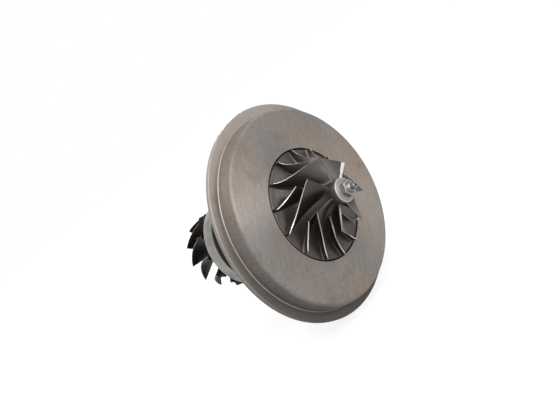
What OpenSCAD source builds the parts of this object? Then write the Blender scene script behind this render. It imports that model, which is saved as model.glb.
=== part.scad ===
// Turbocharger cartridge: the rotating core of a heavy-duty diesel turbocharger.
// Millimetres. The shaft lies along Y, the compressor faces -Y, and +Z is up.
// The origin is on the shaft axis, in the face of the rim that the compressor cover seats on.
// Stations (z) are distances along the shaft from that face, positive towards the nose.

/* [Backplate] */
// outer diameter of the clamp rim
rim_d = 200; // [190:1:220]
// thickness of the rim at its edge
rim_t = 3.8; // [2.5:0.1:6]
// diameter of the pilot that centres the compressor cover
pilot_d = 181.6; // [176:0.1:188]
// length of the straight pilot land
pilot_len = 4; // [2:0.5:8]
// diameter of the raised diffuser face
face_d = 178; // [170:0.5:182]
// height of the raised face above the rim
face_h = 15.3; // [10:0.1:22]
// rounding at the edge of the raised face
face_round = 2.4; // [0.5:0.1:4]
// angle of the clamp cone behind the rim
clamp_angle = 20; // [10:1:30]
// wall thickness behind the raised face
plate_wall = 7; // [5:0.5:10]
// distance from the bolt circle to the edge of the joint
bolt_edge = 11; // [9:0.5:14]
// bolt circle of the joint between backplate and bearing housing
bolt_pcd = 108; // [104:1:112]
// how many bolts hold the backplate
bolt_count = 8; // [6:1:10]
// thread diameter of those bolts
bolt_d = 8; // [6:1:10]

/* [Compressor wheel] */
// outlet diameter
comp_d = 100; // [92:0.5:104]
// inlet diameter over the blade tips
inducer_d = 66; // [60:0.5:70]
// leading edge of the blade tips above the raised face
inducer_h = 27.2; // [22:0.1:32]
// end of the hub nose above the raised face
nose_h = 35.3; // [32:0.1:40]
// diameter of the hub at the leading edges
comp_hub_d = 21; // [18:0.5:24]
// blade width at the outlet
exit_w = 5; // [3.5:0.1:7]
// how far the hub disc lies below the raised face at the outlet
exit_drop = 1.6; // [0:0.1:2.5]
// thickness of the disc at its rim
disc_t = 2.2; // [1.5:0.1:3]
// full blades, with as many splitters between them
comp_blades = 7; // [5:1:9]
// turn of a full blade from leading to trailing edge
comp_wrap = 54.5; // [40:0.5:65]
// where a splitter starts along the blade passage
split_start = 0.333; // [0.2:0.01:0.5]
// position of the first leading edge round the shaft
comp_phase = 124.2; // [0:0.1:360]
// blade thickness at the tip
comp_tip_t = 1.1; // [0.8:0.1:1.6]
// blade thickness at the root
comp_root_t = 2.4; // [1.6:0.1:3.2]
// running gap between the wheel and its recess
wheel_gap = 1.3; // [0.6:0.1:2]

/* [Turbine wheel] */
// inlet diameter over the blade tips
turb_d = 86; // [78:0.5:87]
// outlet diameter over the blade tips
exducer_d = 72; // [66:0.5:76]
// gap between the turbine flange and the back of the wheel
turb_gap = 3.3; // [2:0.1:4]
// width of the blade at its inlet
turb_inlet_w = 11.1; // [8:0.1:13]
// length of the blades from the back of the wheel to the outlet edge
turb_len = 37.5; // [32:0.1:42]
// hub diameter at the outlet edge
turb_hub_d = 25; // [20:0.5:28]
// blades of the turbine wheel
turb_blades = 12; // [9:1:13]
// turn of a blade from inlet to outlet edge
turb_wrap = 32; // [20:0.5:40]
// position of the first inlet edge round the shaft
turb_phase = 138.6; // [0:0.1:360]
// blade thickness at the tip
turb_tip_t = 1.3; // [1:0.1:2]
// blade thickness at the root
turb_root_t = 3; // [2:0.1:4]
// radius reached by the scallops between the blades
scallop_r = 28.5; // [24:0.5:34]

/* [Shaft and rotor stack] */
// journal diameter
journal_d = 16; // [14:0.5:18]
// diameter of the shaft through the wheel
stub_d = 10; // [9:0.5:11]
// thread diameter at the nose
thread_d = 9; // [8:0.5:9.5]
// diameter of the plain end beyond the thread
end_d = 5.4; // [4:0.1:7]
// length of the shaft end beyond the raised face
shaft_h = 49; // [46:0.5:54]
// diameter of the seal boss at the turbine end
seal_boss_d = 26; // [23:0.5:28]
// width across the flats of the nut
nut_flats = 13; // [12:0.5:15]
// diameter of the nut flange
nut_flange_d = 21.6; // [18:0.1:24]
// height of the nut
nut_h = 7.7; // [6:0.1:9]
// diameter of the thrust faces
thrust_d = 32; // [28:0.5:34]
// diameter of the slinger sleeve
sleeve_d = 21.2; // [19:0.1:23]

/* [Bearings and seals] */
// thickness of the thrust bearing
thrust_t = 6; // [4:0.5:8]
// outer diameter of the thrust bearing
thrust_bearing_d = 60; // [56:0.5:62]
// outer diameter of the journal bearings
bearing_d = 24; // [22:0.5:26]
// length of a journal bearing
bearing_len = 14; // [10:0.5:16]
// outer diameter of the seal insert
insert_d = 54; // [50:0.5:56]
// thickness of the snap rings
snap_t = 1.3; // [1:0.1:1.6]

/* [Bearing housing] */
// diameter of the turbine flange
turb_flange_d = 88; // [87.5:0.5:96]
// width of the turbine flange
turb_flange_w = 14.5; // [10:0.5:18]
// distance from the cover seat to the rear face of the turbine flange
housing_end = 92.5; // [88:0.5:98]
// distance from the cover seat to the joint with the backplate
joint_depth = 8; // [7:0.5:10]
// thickness of the flange at the compressor end
front_flange_t = 11; // [9:0.5:14]
// diameter of the barrel
barrel_d = 68; // [64:1:74]
// height of the oil inlet face above the shaft
inlet_h = 60; // [52:1:64]
// spacing of the oil inlet bolts
inlet_spacing = 38; // [34:1:44]
// diameter of the oil inlet
inlet_d = 9; // [7:0.5:12]
// radius of the tapped holes beside the oil inlet
inlet_bolt_r = 3.4; // [2.5:0.1:4.3]
// depth of the oil drain face below the shaft
drain_h = 74; // [66:1:84]
// spacing of the oil drain bolts
drain_spacing = 56; // [52:1:64]
// diameter of the oil drain
drain_d = 26; // [22:1:30]
// radius of the tapped holes beside the oil drain
drain_bolt_r = 4.2; // [3.4:0.1:5]

/* [Clearances] */
// radial clearance of the floating bearings
run_fit = 0.04; // [0.01:0.01:0.1]
// radial clearance of parts clamped on one shaft or in one bore
slip_fit = 0.02; // [0.01:0.01:0.05]
// end clearance of the thrust faces
thrust_play = 0.1; // [0.05:0.01:0.3]
// radial gap bridged by a seal ring
seal_gap = 0.4; // [0.3:0.05:0.6]

/* [Hidden] */
$fn = 96;
rim_r = rim_d / 2;
pilot_r = pilot_d / 2;
face_r = face_d / 2;
comp_r = comp_d / 2;
recess_r = comp_r + wheel_gap;
stub_r = stub_d / 2;
bore_r = stub_r + slip_fit;
journal_r = journal_d / 2;
thrust_r = thrust_d / 2;
sleeve_r = sleeve_d / 2;
insert_r = insert_d / 2;
insert_bore_r = sleeve_r + seal_gap;
nose_z = face_h + nose_h;
// back of the compressor wheel, and the end of the stack of parts clamped by the nut
wheel_back_z = face_h - exit_drop - disc_t;
stack_z = wheel_back_z - 7.5;
wheel_boss_r = sleeve_r + 2.4;
// slope of the back of the wheel, shared with the recess behind it
back_slope = 0.18;
function wheel_back(r) = wheel_back_z - back_slope * (comp_r - r);
// joint faces of the housing and stations of the parts inside it, counted backwards
joint_z = -joint_depth;
baffle_t = 1;
baffle_z = joint_z - baffle_t;
thrust_front_z = joint_z - 4;
thrust_back_z = thrust_front_z - thrust_t;
slinger_z = thrust_front_z + thrust_play;
collar_z = thrust_back_z - thrust_play;
collar_t = 3.9;
shoulder_z = collar_z - collar_t;
front_brg_z = shoulder_z - 5;
housing_z = -housing_end;
rear_brg_z = housing_z + 34;
cavity_z = rear_brg_z - bearing_len - 2.5;
bearing_r = bearing_d / 2;
bearing_bore_r = bearing_r + run_fit;
groove_r = bearing_bore_r + 1.2;
snap_play = 0.2;
seal_groove_w = 2.2;
function seal_groove_r(r) = r - 2;
seal_boss_r = seal_boss_d / 2;
seal_bore_r = seal_boss_r + seal_gap;
seal_boss_z = cavity_z - 4.5;
weld_z = housing_z - 1;
turb_seal_z = housing_z + 8.5;
flange_r = turb_flange_d / 2;
barrel_r = barrel_d / 2;
mid_z = (front_brg_z - bearing_len + rear_brg_z) / 2;
pcd_r = bolt_pcd / 2;
insert_back_z = joint_z + 1;
recess_floor_z = wheel_back(insert_r) - wheel_gap;
insert_front_z = recess_floor_z - snap_t - 1.7;
snap_z = insert_front_z + 0.05;
comp_seal_z = (insert_back_z + insert_front_z) / 2 + 0.5;
shield_t = 1;
shield_r = flange_r - 2.3;
shield_seat_z = housing_z + 0.3 + shield_t;
shield_bore_r = seal_bore_r + 4.4;
boss_r = bolt_pcd / 2 + bolt_edge;
bolt_first = 180 / bolt_count;
tapped_z = face_h - plate_wall - 1.3;
joint_ring_r = thrust_bearing_d / 2 + 9;
joint_ring_s = 1.2;
screw_d = 4;
screw_len = 8;
screw_r = thrust_bearing_d / 2 - 5.5;
screw_head_h = 2.2;
collar_hub_r = journal_r + 1;
insert_ring_s = 1.15;
insert_ring_z = (insert_back_z + insert_front_z) / 2 + 0.7;
chamber_floor = barrel_r - 7;
chamber_top = groove_r + 2.8;
inlet_neck_r = inlet_d / 2 + 9;
neck_round = 10;
waist = 2;
tongue_w = 16;
waist_r = 90;
drain_neck_r = drain_d / 2 + 7;

// the two wheels share one way of building blades; w is 0 for the compressor, 1 for the turbine
turb_back_z = housing_z - turb_gap;
turb_hub_z = turb_back_z - 1.3;
turb_out_z = turb_back_z - turb_len;
exit_z = face_h - exit_drop;
function hub_line(w, t) = w == 0
    ? [comp_r - (comp_r - comp_hub_d / 2) * cos(90 * t),
       face_h + inducer_h + 1.2 - (inducer_h + 1.2 + exit_drop) * sin(90 * t)]
    : [turb_d / 2 - (turb_d - turb_hub_d) / 2 * sin(90 * t),
       turb_hub_z - (turb_hub_z - turb_out_z) * (1 - cos(90 * t))];
function tip_line(w, t) = w == 0
    ? [comp_r - (comp_d - inducer_d) / 2 * cos(90 * t),
       face_h + inducer_h - (inducer_h + exit_drop - exit_w) * sin(90 * t)]
    : [turb_d / 2 - (turb_d - exducer_d) / 2 * pow(sin(90 * t), 0.8),
       turb_back_z - turb_inlet_w
       - (turb_len - turb_inlet_w) * (1 - cos(90 * t))];
function turn_at(w, t) = w == 0
    ? comp_phase + comp_wrap * (0.75 * (1 - pow(1 - t, 2.6)) + 0.25 * t)
    : turb_phase + turb_wrap * pow(1 - cos(90 * t), 2.6);
function span_at(w, t) = norm(tip_line(w, t) - hub_line(w, t));
// the blade surface: t runs along the flow, s from the root to the tip
function mean_point(w, t, s) =
    let (p = hub_line(w, t) + (tip_line(w, t) - hub_line(w, t)) * s, a = turn_at(w, t))
    [p[0] * cos(a), p[0] * sin(a), p[1]];
function unit(v) = v / norm(v);
function blade_normal(w, t, s) =
    let (d = 0.01, t0 = max(0, t - d), t1 = min(1, t + d))
    unit(cross(mean_point(w, t1, s) - mean_point(w, t0, s),
               mean_point(w, t, s + 0.1) - mean_point(w, t, s - 0.1)));
// blades thin towards the tip and towards both edges
function blade_t(w, t, s, t_first) =
    let (root = w == 0 ? comp_root_t : turb_root_t,
         tip = w == 0 ? comp_tip_t : turb_tip_t,
         u = (t - t_first) / (1 - t_first),
         edge = 0.55 + 0.45 * min(1, 5 * min(u, 1 - u)))
    (root + (tip - root) * max(0, s)) * edge;

module in_place() {
    rotate([90, 0, 0]) children();
}

// a cylinder standing upright at station z, from height y0 to y1
module upright(z, y0, y1, r) {
    translate([0, y0, z]) rotate([-90, 0, 0]) cylinder(r = r, h = y1 - y0);
}

// a round drilling between two points in the plane of the shaft
module drilling(y0, z0, y1, z1, r) {
    translate([0, y0, z0])
        rotate([-atan2(y1 - y0, z1 - z0), 0, 0])
            cylinder(r = r, h = norm([y1 - y0, z1 - z0]));
}

module disc(r, z0, z1) {
    translate([0, 0, z0]) cylinder(r = r, h = z1 - z0);
}

module ring(r0, r1, z0, z1) {
    difference() {
        disc(r1, z0, z1);
        disc(r0, z0 - 1, z1 + 1);
    }
}

// a ring open over an angle, the gap centred on angle a
module open_ring(r0, r1, z0, z1, gap, a) {
    rotate([0, 0, a + gap / 2])
        rotate_extrude(angle = 360 - gap)
            translate([r0, z0]) square([r1 - r0, z1 - z0]);
}

module torus(r, section, z) {
    translate([0, 0, z]) rotate_extrude() translate([r, 0]) circle(r = section);
}

module around(n, r, first) {
    for (i = [0 : n - 1])
        rotate([0, 0, first + i * 360 / n]) translate([r, 0, 0]) children();
}

// one blade: nt stations along the flow and ns across the span, on two sides
module blade(w, t_first, nt, ns, sink) {
    ts = [for (i = [0 : nt]) t_first + (1 - t_first) * i / nt];
    function s_at(t, j) = -sink / span_at(w, t) + (1 + sink / span_at(w, t)) * j / ns;
    m = ns + 1;
    half = (nt + 1) * m;
    points = [for (side = [1, -1]) for (t = ts) for (j = [0 : ns])
        let (s = s_at(t, j))
        mean_point(w, t, s)
        + blade_normal(w, t, max(0.05, s)) * side * blade_t(w, t, s, t_first) / 2];
    faces = concat(
        [for (i = [0 : nt - 1]) for (j = [0 : ns - 1]) [i * m + j, i * m + j + 1, (i + 1) * m + j + 1]],
        [for (i = [0 : nt - 1]) for (j = [0 : ns - 1]) [i * m + j, (i + 1) * m + j + 1, (i + 1) * m + j]],
        [for (i = [0 : nt - 1]) for (j = [0 : ns - 1])
            [half + i * m + j, half + (i + 1) * m + j + 1, half + i * m + j + 1]],
        [for (i = [0 : nt - 1]) for (j = [0 : ns - 1])
            [half + i * m + j, half + (i + 1) * m + j, half + (i + 1) * m + j + 1]],
        [for (i = [0 : nt - 1]) [i * m, (i + 1) * m, half + (i + 1) * m]],
        [for (i = [0 : nt - 1]) [i * m, half + (i + 1) * m, half + i * m]],
        [for (i = [0 : nt - 1]) [i * m + ns, half + (i + 1) * m + ns, (i + 1) * m + ns]],
        [for (i = [0 : nt - 1]) [i * m + ns, half + i * m + ns, half + (i + 1) * m + ns]],
        [for (j = [0 : ns - 1]) [j, half + j + 1, j + 1]],
        [for (j = [0 : ns - 1]) [j, half + j, half + j + 1]],
        [for (j = [0 : ns - 1]) [nt * m + j, nt * m + j + 1, half + nt * m + j + 1]],
        [for (j = [0 : ns - 1]) [nt * m + j, half + nt * m + j + 1, half + nt * m + j]]);
    polyhedron(points, faces, convexity = 6);
}

// cast iron body: front flange, barrel, turbine flange, oil inlet and oil drain
module housing_body() {
    neck_z = joint_z - front_flange_t;
    web_z = housing_z + turb_flange_w;
    rotate_extrude() difference() {
        polygon([[0, housing_z], [flange_r - 1, housing_z], [flange_r, housing_z + 1],
                 [flange_r, web_z - 0.6], [flange_r - 0.6, web_z], [barrel_r, web_z + 2],
                 [barrel_r, neck_z], [boss_r - 1, neck_z], [boss_r, neck_z + 1],
                 [boss_r, joint_z - 1], [boss_r - 1, joint_z], [0, joint_z]]);
        // waist of the casting: a shallow hollow round the barrel
        intersection() {
            translate([barrel_r + waist_r - waist, mid_z]) circle(r = waist_r);
            translate([0, web_z + 2]) square([barrel_r + 1, neck_z - neck_round - web_z - 2]);
        }
    }
    // fillet between the barrel and the front flange
    rotate_extrude() difference() {
        translate([barrel_r - 2, neck_z - neck_round]) square([neck_round + 2, neck_round + 1]);
        translate([barrel_r + neck_round, neck_z - neck_round]) circle(r = neck_round);
    }
    // oil inlet and oil drain: a tapered neck and a two-bolt pad each
    upright(mid_z, 0, inlet_h - 9, inlet_neck_r);
    foot(barrel_r - 4, inlet_neck_r, 9);
    translate([0, inlet_h, mid_z]) rotate([90, 0, 0]) pad(inlet_spacing, 10, inlet_neck_r + 2, 11);
    upright(mid_z, 9 - drain_h, 0, drain_neck_r);
    mirror([0, 1, 0]) foot(barrel_r - 6, drain_neck_r, 10);
    translate([0, 12 - drain_h, mid_z]) rotate([90, 0, 0]) pad(drain_spacing, 12, drain_neck_r + 2, 12);
}

// the widening foot of an oil neck, standing in the barrel at height y
module foot(y, r, h) {
    translate([0, y, mid_z]) rotate([-90, 0, 0]) cylinder(r1 = r + 7, r2 = r, h = h);
}

// a two-bolt pad: round ends on the bolt centres and a round middle
module pad(spacing, end_r, mid_r, thick) {
    for (x = [-spacing / 2, spacing / 2])
        translate([x, 0, 0]) cylinder(r = end_r, h = thick);
    translate([-spacing / 2, -end_r, 0]) cube([spacing, 2 * end_r, thick]);
    cylinder(r = mid_r, h = thick);
}

module bearing_housing() {
    color([0.36, 0.35, 0.34]) in_place() difference() {
        housing_body();
        // seats of the baffle and the thrust bearing
        disc(thrust_bearing_d / 2 + 1, baffle_z, joint_z + 1);
        disc(thrust_bearing_d / 2, thrust_back_z, baffle_z + 1);
        disc(thrust_r + 3, shoulder_z - 2, thrust_back_z + 1);
        // bearing bore with its four ring grooves and the relief between the bearings
        disc(bearing_bore_r, cavity_z - 1, shoulder_z);
        for (z = ring_stations())
            disc(groove_r, z, z + snap_t);
        disc(bearing_r + 4, mid_z - 6, mid_z + 6);
        // oil space and seal bore at the turbine end
        disc(seal_bore_r + 4, seal_boss_z + 0.5, cavity_z);
        disc(seal_bore_r, housing_z - 1, seal_boss_z + 1);
        // recess behind the heat shield, and the step that centres it
        disc(shield_r, housing_z - 1, shield_seat_z);
        ring(shield_bore_r - 0.4, shield_r - 4, housing_z - 1, housing_z + 6);
        // drain chamber under the bearings, open to the front and rear oil spaces
        translate([-12, -chamber_floor, cavity_z - 2])
            cube([24, chamber_floor - chamber_top, thrust_back_z - cavity_z + 3]);
        upright(mid_z, -drain_h - 1, 1 - chamber_floor, drain_d / 2);
        // oil inlet and the drillings to both bearings and the thrust bearing
        upright(mid_z, bearing_r + 8, inlet_h + 1, inlet_d / 2);
        drilling(bearing_r + 10, mid_z, bearing_r - 1, front_brg_z - bearing_len / 2, 2);
        drilling(bearing_r + 10, mid_z, bearing_r - 1, rear_brg_z - bearing_len / 2, 2);
        drilling(bearing_r + 10, mid_z, bearing_r + 12, thrust_back_z + 1, 1.6);
        // holes for the backplate bolts, thrust screws, and the tapped holes of both pads
        around(bolt_count, pcd_r, bolt_first)
            disc(bolt_d / 2 + 0.5, joint_z - front_flange_t - 1, joint_z + 1);
        thrust_screw_places() disc(screw_d / 2 + slip_fit, thrust_back_z - screw_len, thrust_back_z + 1);
        for (x = [-inlet_spacing / 2, inlet_spacing / 2])
            translate([x, 0, 0]) upright(mid_z, inlet_h - 12, inlet_h + 1, inlet_bolt_r);
        for (x = [-drain_spacing / 2, drain_spacing / 2])
            translate([x, 0, 0]) upright(mid_z, -drain_h - 1, -drain_h + 12, drain_bolt_r);
        // groove of the joint ring
        ring(joint_ring_r - 1.7, joint_ring_r + 1.7, joint_z - 2 * joint_ring_s, joint_z + 1);
    }
}

function ring_stations() = [
    front_brg_z + snap_play,
    front_brg_z - bearing_len - snap_play - snap_t,
    rear_brg_z + snap_play,
    rear_brg_z - bearing_len - snap_play - snap_t];

module thrust_screw_places() {
    for (a = [35, 145, 215, 325])
        rotate([0, 0, a]) translate([screw_r, 0, 0]) children();
}

module compressor_backplate() {
    taper_z = face_h - face_round;
    cone = (rim_r - pilot_r - 1) * tan(clamp_angle);
    color([0.66, 0.65, 0.62]) in_place() difference() {
        rotate_extrude() {
            polygon([[insert_r - 3, joint_z], [boss_r, joint_z], [boss_r + 1, joint_z + 2],
                     [boss_r + 3, face_h - plate_wall - 2], [boss_r + 5, face_h - plate_wall],
                     [face_r - 9, face_h - plate_wall], [face_r - 7, face_h - plate_wall - 2],
                     [face_r - 6, -rim_t - cone], [pilot_r + 1, -rim_t - cone], [rim_r - 0.4, -rim_t],
                     [rim_r, -rim_t + 0.4], [rim_r, -0.4], [rim_r - 0.4, 0], [pilot_r, 0],
                     [pilot_r, pilot_len], [face_r, taper_z], [face_r - face_round, taper_z],
                     [face_r - face_round, face_h], [recess_r + 0.4, face_h], [recess_r, face_h - 0.4],
                     [recess_r, wheel_back(comp_r) - wheel_gap], [insert_r + 1, recess_floor_z],
                     [insert_r - 3, recess_floor_z]]);
            translate([face_r - face_round, taper_z]) circle(r = face_round, $fn = 48);
        }
        // bore of the seal insert, with the groove of its snap ring and a shoulder behind
        disc(insert_r, insert_back_z, face_h);
        disc(insert_r + 1.4, snap_z, snap_z + snap_t + 0.1);
        // tapped holes for the bolts
        around(bolt_count, pcd_r, bolt_first)
            disc(bolt_d / 2 + slip_fit, joint_z - 1, tapped_z);
    }
}

module backplate_bolts() {
    head_z = joint_z - front_flange_t;
    color([0.5, 0.5, 0.52]) in_place() around(bolt_count, pcd_r, bolt_first) {
        disc(bolt_d / 2, head_z - 1, tapped_z - 3);
        translate([0, 0, head_z - 1.6]) cylinder(r1 = bolt_d * 0.95, r2 = bolt_d, h = 1.6);
        translate([0, 0, head_z - 7]) intersection() {
            cylinder(d = 13 / cos(30), h = 6, $fn = 6);
            cylinder(r1 = 6.3, r2 = 11.3, h = 6);
        }
    }
}

module backplate_o_ring() {
    color([0.08, 0.08, 0.08]) in_place() torus(joint_ring_r, joint_ring_s - 0.005, joint_z - joint_ring_s);
}

module seal_insert() {
    color([0.6, 0.6, 0.6]) in_place() difference() {
        disc(insert_r - slip_fit, insert_back_z, insert_front_z);
        disc(insert_bore_r, insert_back_z - 1, insert_front_z + 1);
        translate([0, 0, insert_back_z - 0.01])
            cylinder(r1 = insert_bore_r + 8, r2 = insert_bore_r + 2.5, h = 3);
        ring(insert_r - 2 * insert_ring_s, insert_r + 1, insert_ring_z - 1.6, insert_ring_z + 1.6);
    }
}

module insert_o_ring() {
    color([0.08, 0.08, 0.08]) in_place()
        torus(insert_r - insert_ring_s, insert_ring_s - 0.005, insert_ring_z);
}

module insert_snap_ring() {
    color([0.45, 0.45, 0.47]) in_place()
        open_ring(insert_r - 2.2, insert_r + 1.3, snap_z, snap_z + snap_t, 30, 90);
}

module oil_baffle() {
    color([0.62, 0.62, 0.64]) in_place() difference() {
        union() {
            disc(thrust_bearing_d / 2 + 1 - slip_fit, baffle_z, joint_z);
            // tongue that leads the oil down past the thrust bearing
            translate([-tongue_w / 2, -thrust_bearing_d / 2 + tongue_w / 4, thrust_front_z + 0.4])
                cube([tongue_w, joint_z - baffle_z, joint_z - thrust_front_z - 0.9]);
        }
        disc(insert_bore_r + 2, baffle_z - 1, joint_z + 1);
    }
}

module thrust_bearing() {
    color([0.72, 0.56, 0.28]) in_place() difference() {
        disc(thrust_bearing_d / 2 - slip_fit, thrust_back_z, thrust_front_z);
        disc(collar_hub_r + 0.35, thrust_back_z - 1, thrust_front_z + 1);
        // oil grooves between the pads, on both faces
        around(6, 0, 30)
            for (z = [thrust_back_z - 1, thrust_front_z - 0.6])
                translate([collar_hub_r - 1, -0.9, z]) cube([thrust_r - collar_hub_r + 1, 1.8, 1.6]);
        // oil feed from the top and the opening that lets the oil fall into the drain chamber
        upright((thrust_front_z + thrust_back_z) / 2, collar_hub_r, thrust_bearing_d / 2 - 5, 1.5);
        upright_feed();
        translate([-10, -thrust_bearing_d / 2 - 1, thrust_back_z - 1]) cube([20, 14, thrust_t + 2]);
        thrust_screw_places() disc(screw_d / 2 + 0.2, thrust_back_z - 1, thrust_front_z + 1);
    }
}

// short drilling from the back of the thrust bearing to its feed hole
module upright_feed() {
    translate([0, bearing_r + 12, thrust_back_z - 1]) cylinder(r = 1.6, h = thrust_t / 2 + 1);
}

module thrust_screws() {
    color([0.4, 0.4, 0.42]) in_place() thrust_screw_places() {
        disc(screw_d / 2, thrust_back_z - screw_len + 0.5, thrust_front_z + 0.1);
        difference() {
            disc(screw_d * 0.85, thrust_front_z, thrust_front_z + screw_head_h);
            translate([0, 0, thrust_front_z + 1]) cylinder(d = 2.5 / cos(30), h = 2, $fn = 6);
        }
    }
}

module bearing_snap_rings() {
    color([0.45, 0.45, 0.47]) in_place()
        for (z = ring_stations())
            open_ring(bearing_r - 1.8, groove_r - slip_fit, z + 0.05, z + snap_t - 0.05, 40, 90);
}

module journal_bearing(z) {
    difference() {
        disc(bearing_r, z - bearing_len, z);
        disc(journal_r + run_fit, z - bearing_len - 1, z + 1);
        // oil holes through the wall and a groove round the outside
        around(6, 0, 30)
            translate([0, 0, z - bearing_len / 2]) rotate([0, 90, 0]) cylinder(r = 1.5, h = bearing_r + 2);
        ring(bearing_r - 0.6, bearing_r + 1, z - bearing_len / 2 - 2, z - bearing_len / 2 + 2);
    }
}

module front_journal_bearing() {
    color([0.76, 0.6, 0.3]) in_place() journal_bearing(front_brg_z);
}

module rear_journal_bearing() {
    color([0.76, 0.6, 0.3]) in_place() journal_bearing(rear_brg_z);
}

module seal_groove(r, z) {
    ring(seal_groove_r(r), r + 1, z - seal_groove_w / 2, z + seal_groove_w / 2);
}

// a split ring that stands still in the bore and reaches into the groove of the rotor
module seal_ring(r, z) {
    w = seal_groove_w / 2 - 0.15;
    open_ring(seal_groove_r(r) + 0.3, r + seal_gap - slip_fit, z - w, z + w, 6, 60);
}

module compressor_seal_ring() {
    color([0.4, 0.4, 0.42]) in_place() seal_ring(sleeve_r, comp_seal_z);
}

module turbine_seal_ring() {
    color([0.4, 0.4, 0.42]) in_place() seal_ring(seal_boss_r, turb_seal_z);
}

module heat_shield() {
    dish = 2;
    color([0.5, 0.49, 0.47]) in_place() translate([0, 0, shield_seat_z]) rotate_extrude()
        polygon([[shield_r - slip_fit, -shield_t], [shield_r - slip_fit, 0], [shield_r - 5, 0],
                 [shield_r - 8, dish], [shield_bore_r, dish], [shield_bore_r, dish - shield_t],
                 [shield_r - 8.4, dish - shield_t], [shield_r - 5.4, -shield_t]]);
}

module rotor_shaft() {
    waist_r = journal_r - 0.6;
    end_z = face_h + shaft_h;
    thread_r = thread_d / 2;
    color([0.55, 0.55, 0.57]) in_place() difference() {
        rotate_extrude()
            polygon([[0, weld_z], [seal_boss_r - 0.5, weld_z], [seal_boss_r, weld_z + 0.5],
                     [seal_boss_r, seal_boss_z], [journal_r + 1.5, seal_boss_z + 1.5],
                     [journal_r, seal_boss_z + 3], [journal_r, rear_brg_z + 2], [waist_r, rear_brg_z + 3],
                     [waist_r, front_brg_z - bearing_len - 3], [journal_r, front_brg_z - bearing_len - 2],
                     [journal_r, shoulder_z], [stub_r, shoulder_z], [stub_r, nose_z - 3],
                     [thread_r, nose_z - 2.5], [thread_r, end_z - 4.2], [thread_r - 0.9, end_z - 3.3],
                     [end_d / 2, end_z - 3.3], [end_d / 2, end_z - 0.4], [end_d / 2 - 0.4, end_z],
                     [0, end_z]]);
        seal_groove(seal_boss_r, turb_seal_z);
        translate([0, 0, end_z - 3]) cylinder(r = 1.3, h = 4);
    }
}

module turbine_wheel() {
    hub_points = [for (i = [4 : 18]) hub_line(1, i / 18)];
    web_r = hub_points[0][0];
    nose = turb_out_z - 7;
    color([0.2, 0.18, 0.17]) in_place() {
        difference() {
            rotate_extrude()
                polygon(concat([[0, weld_z], [seal_boss_r - 0.3, weld_z], [seal_boss_r + 2, turb_back_z],
                                [web_r, turb_back_z]],
                               hub_points,
                               [[turb_hub_d / 2 - 0.6, turb_out_z - 1.5],
                                [turb_hub_d / 2 - 3, turb_out_z - 3.2], [0, turb_out_z - 3.2]]));
            around(turb_blades, scallop_r + 7.5, turb_phase + 180 / turb_blades)
                translate([0, 0, turb_out_z]) cylinder(r = 7.5, h = turb_len + 2);
        }
        // hexagon that holds the rotor while the nut is tightened
        translate([0, 0, nose]) intersection() {
            cylinder(d = 15 / cos(30), h = 5, $fn = 6);
            cylinder(r1 = 7.4, r2 = 10.4, h = 5);
        }
        for (i = [0 : turb_blades - 1])
            rotate([0, 0, i * 360 / turb_blades]) blade(1, 0, 13, 3, 1.2);
    }
}

module compressor_wheel() {
    hub_points = [for (i = [20 : -1 : 0]) hub_line(0, i / 20)];
    color([0.58, 0.58, 0.58]) in_place() {
        rotate_extrude()
            polygon(concat([[bore_r, stack_z], [wheel_boss_r, stack_z],
                            [wheel_boss_r + 0.8, wheel_back(wheel_boss_r)], [comp_r, wheel_back_z]],
                           hub_points,
                           [[comp_hub_d / 2 - 0.3, nose_z - 0.4], [comp_hub_d / 2 - 0.7, nose_z],
                            [bore_r, nose_z]]));
        for (i = [0 : comp_blades - 1])
            rotate([0, 0, i * 360 / comp_blades]) {
                blade(0, 0, 12, 3, 1.1);
                rotate([0, 0, 180 / comp_blades]) blade(0, split_start, 8, 3, 1.1);
            }
    }
}

module thrust_collar() {
    color([0.5, 0.5, 0.52]) in_place() difference() {
        union() {
            disc(collar_hub_r, collar_z - 1, slinger_z);
            disc(thrust_r, shoulder_z, collar_z);
        }
        disc(bore_r, shoulder_z - 1, slinger_z + 1);
    }
}

module oil_slinger() {
    color([0.52, 0.52, 0.54]) in_place() difference() {
        union() {
            disc(sleeve_r, slinger_z, stack_z);
            disc(thrust_r, slinger_z, slinger_z + 2.4);
        }
        disc(bore_r, slinger_z - 1, stack_z + 1);
        seal_groove(sleeve_r, comp_seal_z);
    }
}

module compressor_nut() {
    color([0.74, 0.74, 0.75]) in_place() difference() {
        union() {
            translate([0, 0, nose_z]) cylinder(r1 = nut_flange_d / 2, r2 = nut_flange_d / 2 - 0.2, h = 1);
            translate([0, 0, nose_z + 1])
                cylinder(r1 = nut_flange_d / 2 - 0.2, r2 = nut_flats / 2 + 0.3, h = 1.6);
            translate([0, 0, nose_z]) intersection() {
                cylinder(d = nut_flats / cos(30), h = nut_h, $fn = 6);
                cylinder(r1 = nut_flats / 2 + nut_h - 0.4, r2 = nut_flats / 2 - 0.4, h = nut_h);
            }
        }
        disc(thread_d / 2 + slip_fit, nose_z - 1, nose_z + nut_h + 1);
        translate([0, 0, nose_z + nut_h - 0.5])
            cylinder(r1 = thread_d / 2 + slip_fit, r2 = thread_d / 2 + 0.7, h = 0.6);
    }
}

bearing_housing();
compressor_backplate();
backplate_bolts();
backplate_o_ring();
seal_insert();
insert_o_ring();
insert_snap_ring();
oil_baffle();
thrust_bearing();
thrust_screws();
bearing_snap_rings();
compressor_seal_ring();
turbine_seal_ring();
heat_shield();
front_journal_bearing();
rear_journal_bearing();
rotor_shaft();
turbine_wheel();
thrust_collar();
oil_slinger();
compressor_wheel();
compressor_nut();
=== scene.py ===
import math

import bmesh
import bpy
import numpy as np
from mathutils import Matrix, Vector


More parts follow.
